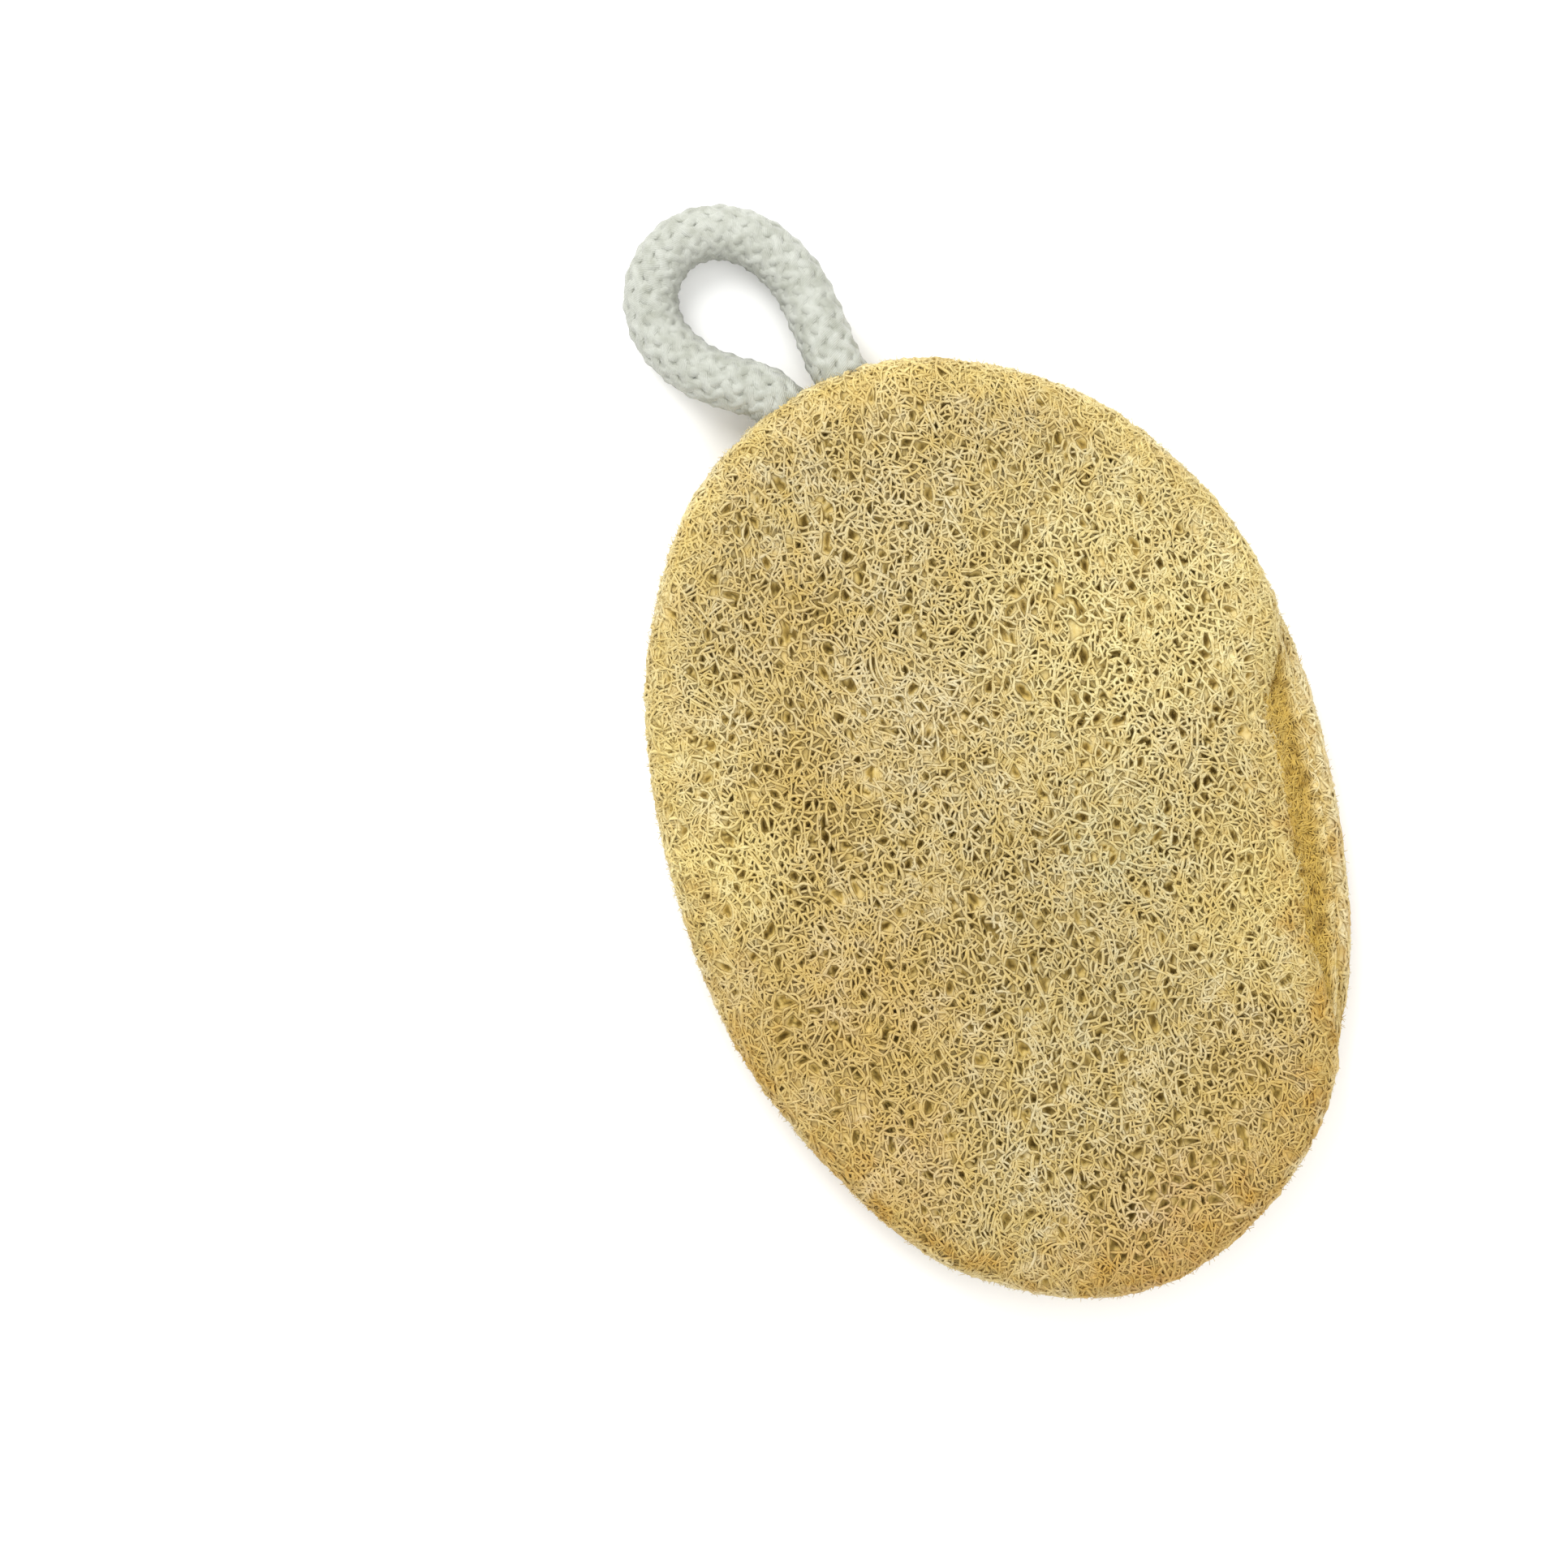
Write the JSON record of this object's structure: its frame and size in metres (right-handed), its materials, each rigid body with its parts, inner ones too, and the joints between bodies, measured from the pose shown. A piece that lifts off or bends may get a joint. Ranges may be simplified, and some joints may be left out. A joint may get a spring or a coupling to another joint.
{
  "type": "natural loofah sponge",
  "caption": "Oval natural loofah scrubbing pad, sewn from two layers of dried loofah net, with a braided cotton rope loop for hanging.",
  "frame": {"origin": "on the surface that the pad lies on, under the middle of the pad without its rope loop", "axes": "+Y along the pad's length towards the rope loop, +X across it to the side with the turned-up lip, +Z out of the front face"},
  "size_m": [0.1022, 0.18, 0.0176],
  "materials": {
    "loofah_fibre": "dry raw plant fibre, matt with a faint straw sheen",
    "cotton_rope": "undyed braided cotton, matt",
    "sewing_thread": "twisted thread, matt"
  },
  "bodies": {
    "root": {"loofah_front_layer": "loofah_fibre", "loofah_back_layer": "loofah_fibre", "rope_loop": "cotton_rope", "seam_thread": "sewing_thread"}
  },
  "joints": []
}
